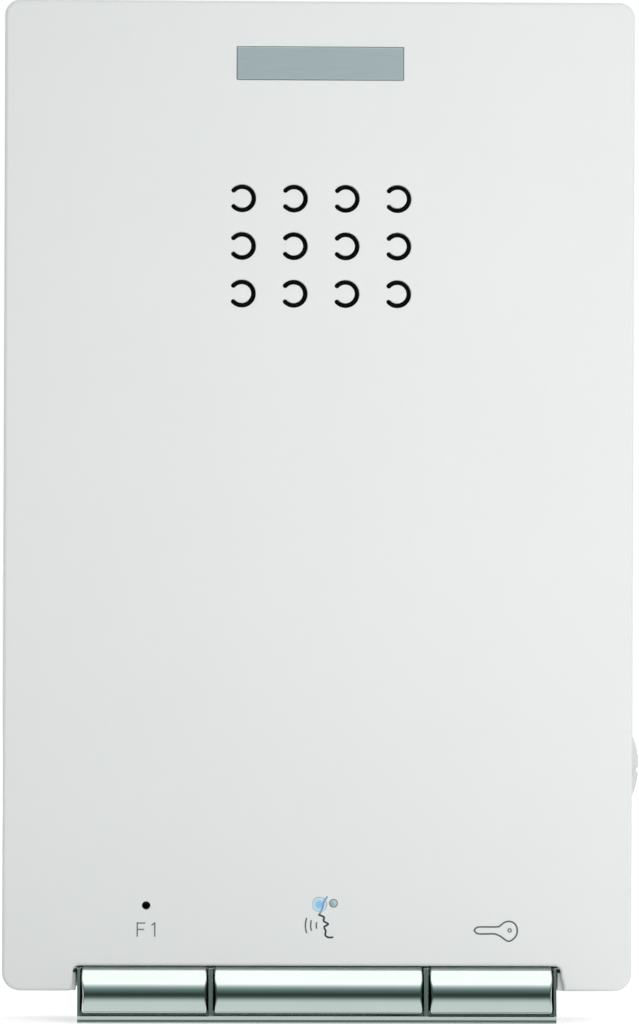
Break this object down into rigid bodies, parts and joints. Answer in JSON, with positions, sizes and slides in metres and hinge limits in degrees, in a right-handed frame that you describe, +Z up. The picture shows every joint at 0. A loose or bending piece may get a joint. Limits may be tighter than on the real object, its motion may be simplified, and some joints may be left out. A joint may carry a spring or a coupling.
{
  "type": "wall intercom station",
  "caption": "Flat hands-free audio intercom for a wall, with a slotted white cover, a chrome bar of rocker keys under its lower edge and a volume thumbwheel in its side.",
  "frame": {"origin": "middle of the cover's height and width, on the wall face at the back of the base", "axes": "+Z up, +X to the right as seen from the front, +Y into the wall, so the front faces -Y"},
  "size_m": [0.0915, 0.0234, 0.146],
  "materials": {
    "white_abs": "satin moulded",
    "base_abs": "fine matt moulded",
    "badge_aluminium": "satin anodised",
    "acoustic_cloth": "woven",
    "foam_rubber": "closed cell",
    "plated_steel": "zinc plated",
    "paper_cone": "pressed pulp",
    "copper": "enamelled",
    "ferrite": "sintered",
    "terminal_strip_board": "pressed board",
    "screw_steel": "zinc plated",
    "lead_insulation": "extruded",
    "plug_nylon": "moulded",
    "board_laminate": "solder mask",
    "chip_epoxy": "moulded",
    "can_aluminium": "drawn",
    "terminal_polyamide": "moulded",
    "frame_chrome": "bright plated",
    "key_chrome": "bright plated",
    "rod_steel": "ground",
    "switch_black": "moulded",
    "plunger_white": "moulded",
    "lamp_resin": "cast",
    "light_pipe_acrylic": "polished",
    "wheel_abs": "satin moulded"
  },
  "bodies": {
    "case": {"front_cover": "white_abs", "rear_base": "base_abs", "badge_plate": "badge_aluminium", "grille_cloth": "acoustic_cloth", "speaker_gasket": "foam_rubber", "microphone_boot": "foam_rubber", "speaker_frame": "plated_steel", "speaker_pole_plate": "plated_steel", "speaker_yoke": "plated_steel", "speaker_strap": "plated_steel", "speaker_cone": "paper_cone", "speaker_voice_coil": "copper", "speaker_magnet": "ferrite", "speaker_terminal_strip": "terminal_strip_board", "speaker_strap_screws": "screw_steel", "board_screws": "screw_steel", "terminal_screws": "screw_steel", "terminal_clamps": "screw_steel", "key_frame_screws": "screw_steel", "speaker_leads": "lead_insulation", "speaker_plug": "plug_nylon", "speaker_header": "plug_nylon", "main_board": "board_laminate", "control_chip": "chip_epoxy", "amplifier_chip": "chip_epoxy", "filter_capacitors": "can_aluminium", "microphone_capsule": "can_aluminium", "terminal_block": "terminal_polyamide", "key_frame": "frame_chrome", "key_pivot_rod": "rod_steel", "switch_body_f1": "switch_black", "switch_body_talk": "switch_black", "switch_body_door": "switch_black", "volume_pot_body": "switch_black", "talk_lamp": "lamp_resin", "talk_light_pipe": "light_pipe_acrylic"},
    "f1_key": {"key_f1": "key_chrome"},
    "talk_key": {"key_talk": "key_chrome"},
    "door_key": {"key_door": "key_chrome"},
    "f1_plunger": {"switch_plunger_f1": "plunger_white"},
    "talk_plunger": {"switch_plunger_talk": "plunger_white"},
    "door_plunger": {"switch_plunger_door": "plunger_white"},
    "wheel": {"volume_wheel": "wheel_abs", "volume_pot_shaft": "rod_steel"}
  },
  "joints": [
    {"name": "f1_press", "type": "hinge", "parent": "case", "child": "f1_key", "pos_m": [-0.02467, -0.0176, -0.0624], "axis": [1, 0, 0], "range_deg": [0, 4], "stiffness_Nm_per_rad": 0.03, "springref_deg": -2.86},
    {"name": "talk_press", "type": "hinge", "parent": "case", "child": "talk_key", "pos_m": [0.0002, -0.0176, -0.0624], "axis": [1, 0, 0], "range_deg": [0, 4], "stiffness_Nm_per_rad": 0.03, "springref_deg": -2.86},
    {"name": "door_press", "type": "hinge", "parent": "case", "child": "door_key", "pos_m": [0.02488, -0.0176, -0.0624], "axis": [1, 0, 0], "range_deg": [0, 4], "stiffness_Nm_per_rad": 0.03, "springref_deg": -2.86},
    {"name": "f1_plunger_slide", "type": "slide", "parent": "case", "child": "f1_plunger", "axis": [0, 1, 0], "range_m": [0, 0.00025]},
    {"name": "talk_plunger_slide", "type": "slide", "parent": "case", "child": "talk_plunger", "axis": [0, 1, 0], "range_m": [0, 0.00025]},
    {"name": "door_plunger_slide", "type": "slide", "parent": "case", "child": "door_plunger", "axis": [0, 1, 0], "range_m": [0, 0.00025]},
    {"name": "volume_turn", "type": "hinge", "parent": "case", "child": "wheel", "pos_m": [0.03555, -0.0117, -0.0387], "axis": [0, 1, 0], "range_deg": [-135, 135]}
  ],
  "couplings": [
    {"joint": "f1_plunger_slide", "follows": "f1_press", "m_per_rad": 0.0034},
    {"joint": "talk_plunger_slide", "follows": "talk_press", "m_per_rad": 0.0034},
    {"joint": "door_plunger_slide", "follows": "door_press", "m_per_rad": 0.0034}
  ]
}
